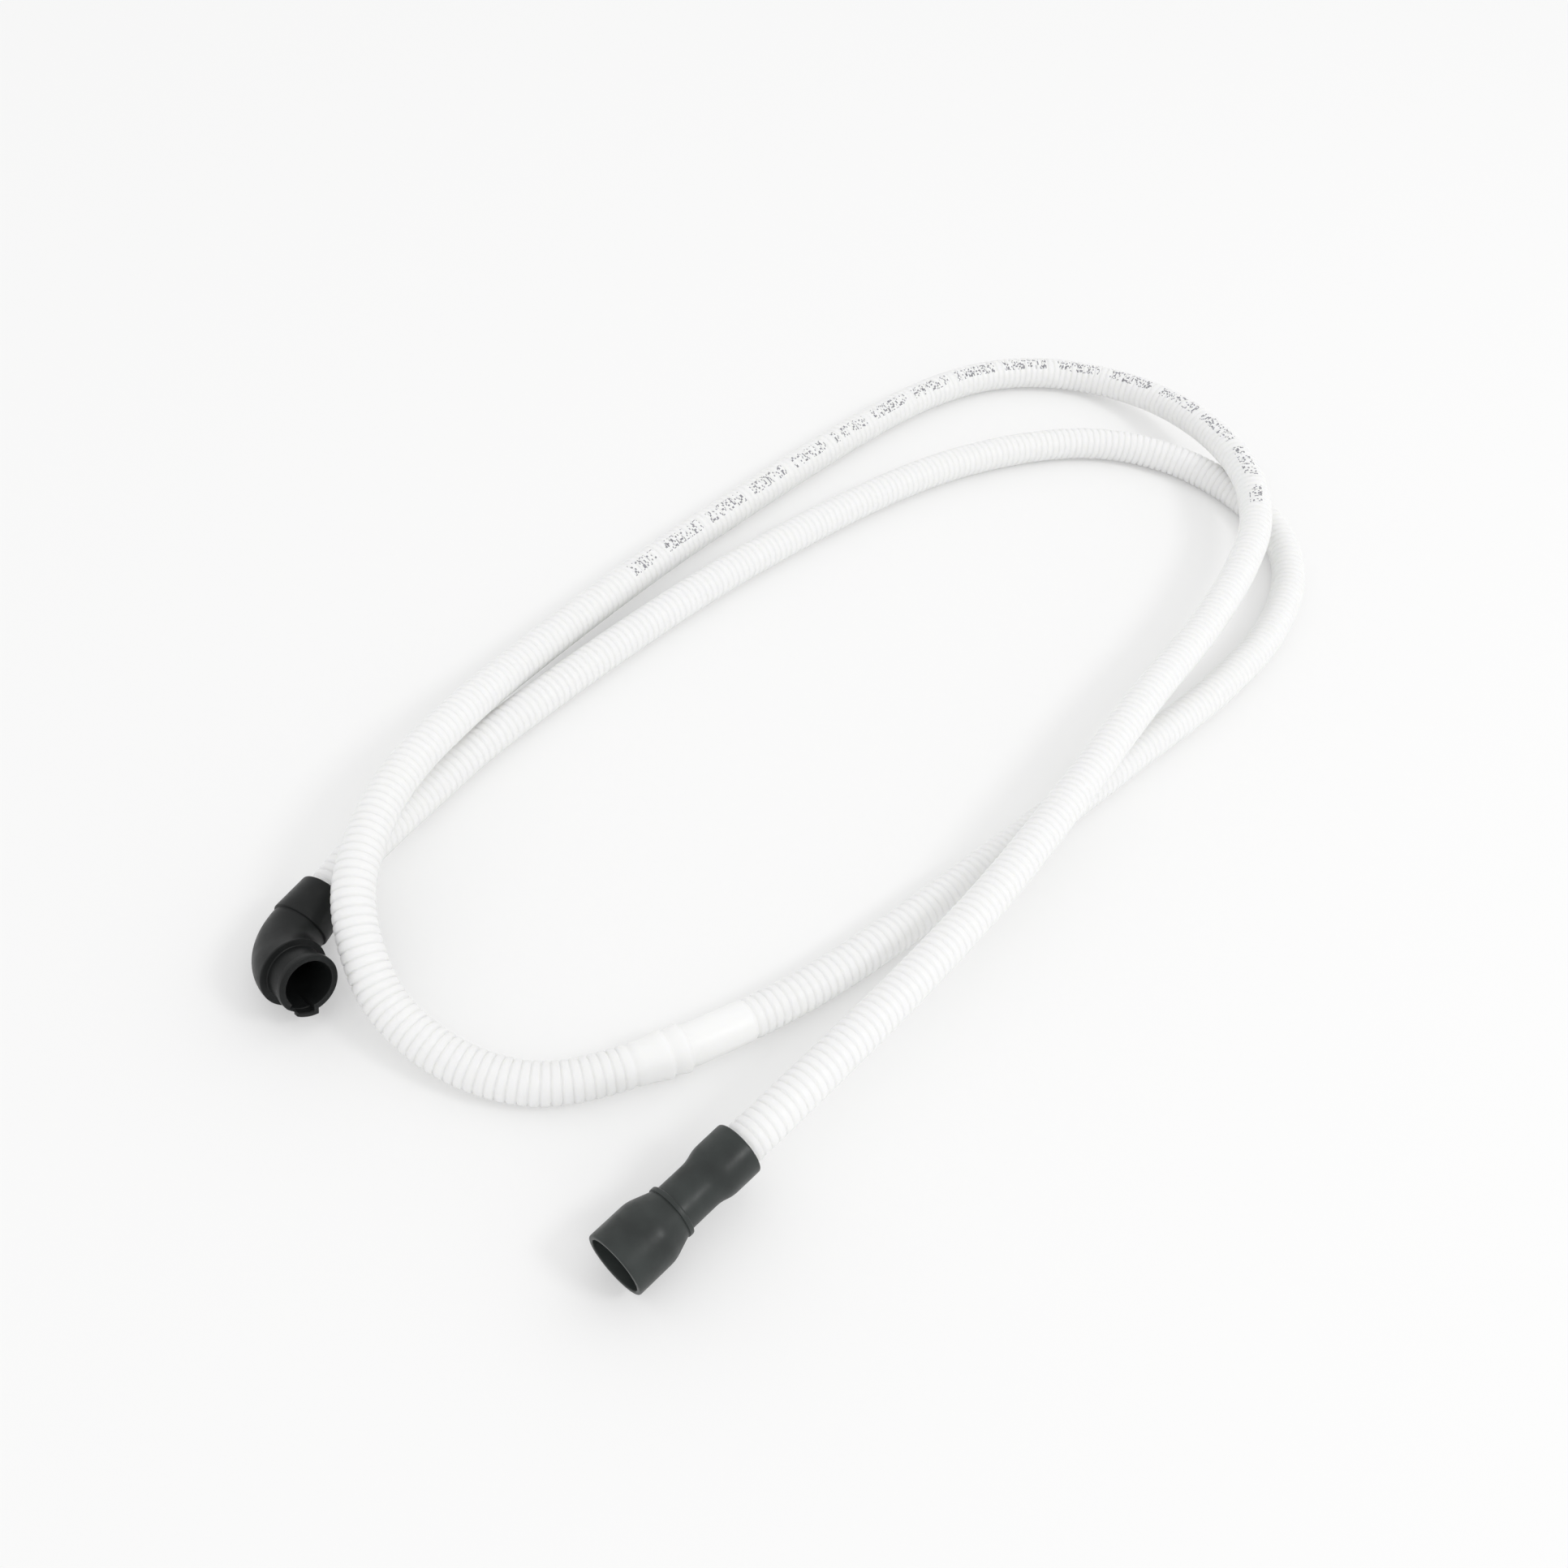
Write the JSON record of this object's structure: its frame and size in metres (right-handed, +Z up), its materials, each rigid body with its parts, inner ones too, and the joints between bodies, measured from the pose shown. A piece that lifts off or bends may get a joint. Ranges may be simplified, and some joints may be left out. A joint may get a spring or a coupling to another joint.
{
  "type": "drain hose extension",
  "caption": "Long ribbed drain hose lying in a loose loop, with a stepped straight coupler at its start and an elbow connector at its end.",
  "frame": {"origin": "middle of the footprint, on the floor that the hose lies on", "axes": "+Z up, +Y along the loop from the fittings to its far bend, +X towards the side away from the elbow"},
  "size_m": [0.5656, 0.796, 0.0529],
  "materials": {
    "hose": "white ribbed plastic with a soft sheen",
    "coupler": "dark grey rubber, matt with a broad soft sheen",
    "elbow": "dark grey rubber, matt with a broad soft sheen"
  },
  "bodies": {
    "root": {"drain_hose": "hose", "straight_coupler": "coupler", "elbow_connector": "elbow"}
  },
  "joints": []
}
